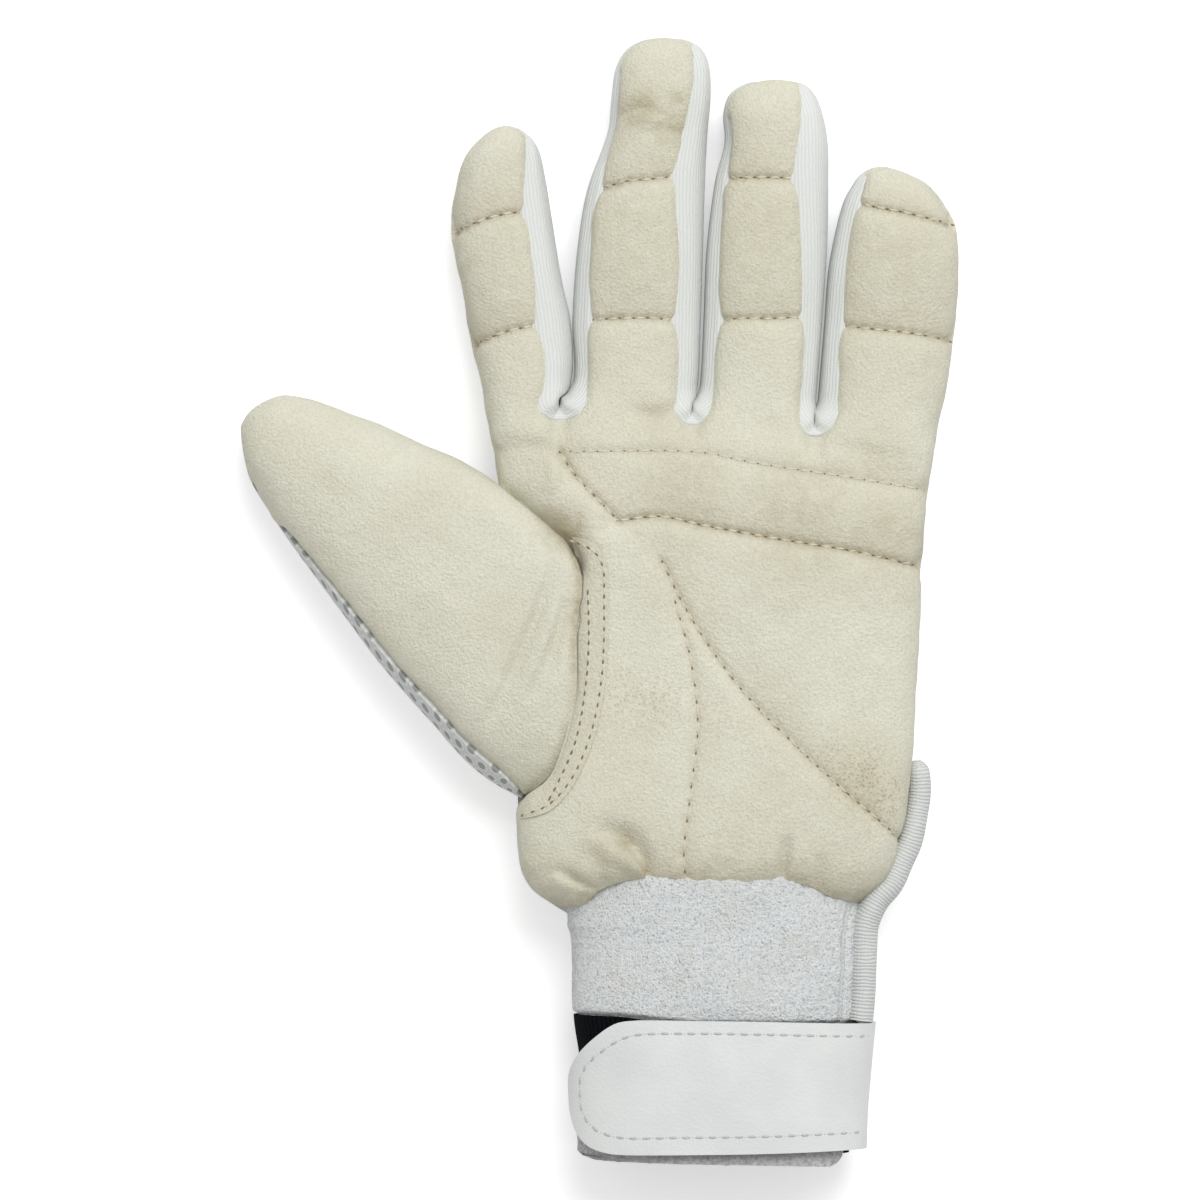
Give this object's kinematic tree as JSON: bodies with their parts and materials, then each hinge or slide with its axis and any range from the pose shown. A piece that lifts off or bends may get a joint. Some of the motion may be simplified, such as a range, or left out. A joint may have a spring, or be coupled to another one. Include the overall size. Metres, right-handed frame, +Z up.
{
  "type": "wicket keeping inner glove",
  "caption": "Padded left-hand inner glove with a quilted leather front, knitted finger sides, mesh back, towelling cuff and a hook-and-loop wrist strap.",
  "frame": {"origin": "on the table under the middle of the glove's bounding box, with the glove lying on its back", "axes": "+Y towards the finger tips, +Z up out of the palm, -X towards the thumb"},
  "size_m": [0.1652, 0.2584, 0.0351],
  "materials": {
    "chamois": "soft suede, cream, lightly stained in the creases",
    "foam": "soft open-cell foam",
    "spacer_mesh": "white spacer mesh with round holes",
    "side_knit": "white fine-ribbed knit",
    "towelling": "white elastic towelling",
    "band_knit": "black knitted elastic with a plain white line",
    "loop": "grey brushed loop tape",
    "hook": "grey hook tape",
    "strap": "white coated strap, smooth, with a sewn border",
    "binding_rib": "white ribbed elastic binding"
  },
  "bodies": {
    "palm": {"palm_leather": "chamois", "palm_bar_foam": "foam", "outer_heel_foam": "foam", "middle_heel_foam": "foam", "thumb_heel_foam": "foam", "hand_back": "spacer_mesh", "thumb_welt": "chamois", "cuff": "towelling", "wrist_band": "band_knit", "loop_patch": "loop", "strap_root": "strap", "edge_binding": "binding_rib"},
    "knuckles": {"knuckle_leather": "chamois", "knuckle_foam": "foam", "knuckle_back": "spacer_mesh", "index_middle_web": "side_knit", "middle_ring_web": "side_knit", "ring_little_web": "side_knit"},
    "index_middle": {"index_middle_leather": "chamois", "index_middle_foam": "foam", "index_middle_back": "spacer_mesh", "index_middle_right_strip": "side_knit"},
    "index_tip": {"index_tip_leather": "chamois", "index_tip_foam": "foam", "index_tip_back": "spacer_mesh", "index_tip_right_strip": "side_knit"},
    "middle_middle": {"middle_middle_leather": "chamois", "middle_middle_foam": "foam", "middle_middle_back": "spacer_mesh", "middle_middle_left_strip": "side_knit", "middle_middle_right_strip": "side_knit"},
    "middle_tip": {"middle_tip_leather": "chamois", "middle_tip_foam": "foam", "middle_tip_back": "spacer_mesh", "middle_tip_left_strip": "side_knit", "middle_tip_right_strip": "side_knit"},
    "ring_middle": {"ring_middle_leather": "chamois", "ring_middle_foam": "foam", "ring_middle_back": "spacer_mesh", "ring_middle_left_strip": "side_knit", "ring_middle_right_strip": "side_knit"},
    "ring_tip": {"ring_tip_leather": "chamois", "ring_tip_foam": "foam", "ring_tip_back": "spacer_mesh", "ring_tip_left_strip": "side_knit", "ring_tip_right_strip": "side_knit"},
    "little_middle": {"little_middle_leather": "chamois", "little_middle_foam": "foam", "little_middle_back": "spacer_mesh", "little_middle_left_strip": "side_knit"},
    "little_tip": {"little_tip_leather": "chamois", "little_tip_foam": "foam", "little_tip_back": "spacer_mesh", "little_tip_left_strip": "side_knit"},
    "thumb": {"thumb_leather": "chamois", "thumb_foam": "foam", "thumb_back": "spacer_mesh"},
    "strap": {"strap_tab": "strap", "hook_patch": "hook"}
  },
  "joints": [
    {"name": "knuckle_fold", "type": "hinge", "parent": "palm", "child": "knuckles", "pos_m": [0.02585, 0.03015, 0.022], "axis": [0.9959, -0.0901, 0], "range_deg": [0, 70]},
    {"name": "thumb_fold", "type": "hinge", "parent": "palm", "child": "thumb", "pos_m": [-0.0079, -0.01585, 0.0295], "axis": [0.0844, 0.9964, 0], "range_deg": [0, 40]},
    {"name": "strap_fold", "type": "hinge", "parent": "palm", "child": "strap", "pos_m": [0.0624, -0.11085, 0.0203], "axis": [0, 1, 0], "range_deg": [0, 130]},
    {"name": "index_middle_fold", "type": "hinge", "parent": "knuckles", "child": "index_middle", "pos_m": [-0.01845, 0.0614, 0.018], "axis": [0.9812, 0.1928, 0], "range_deg": [0, 80]},
    {"name": "index_tip_fold", "type": "hinge", "parent": "index_middle", "child": "index_tip", "pos_m": [-0.02265, 0.08765, 0.017], "axis": [0.9762, 0.2169, 0], "range_deg": [0, 55]},
    {"name": "middle_middle_fold", "type": "hinge", "parent": "knuckles", "child": "middle_middle", "pos_m": [0.00895, 0.06445, 0.018], "axis": [1, 0, 0], "range_deg": [0, 80]},
    {"name": "middle_tip_fold", "type": "hinge", "parent": "middle_middle", "child": "middle_tip", "pos_m": [0.0111, 0.0963, 0.017], "axis": [0.9988, 0.0481, 0], "range_deg": [0, 55]},
    {"name": "ring_middle_fold", "type": "hinge", "parent": "knuckles", "child": "ring_middle", "pos_m": [0.03775, 0.06445, 0.018], "axis": [1, 0.0078, 0], "range_deg": [0, 80]},
    {"name": "ring_tip_fold", "type": "hinge", "parent": "ring_middle", "child": "ring_tip", "pos_m": [0.04035, 0.09665, 0.017], "axis": [1, 0, 0], "range_deg": [0, 55]},
    {"name": "little_middle_fold", "type": "hinge", "parent": "knuckles", "child": "little_middle", "pos_m": [0.0666, 0.06215, 0.018], "axis": [0.9947, -0.1029, 0], "range_deg": [0, 80]},
    {"name": "little_tip_fold", "type": "hinge", "parent": "little_middle", "child": "little_tip", "pos_m": [0.06885, 0.08905, 0.017], "axis": [0.9935, -0.1136, 0], "range_deg": [0, 55]}
  ]
}
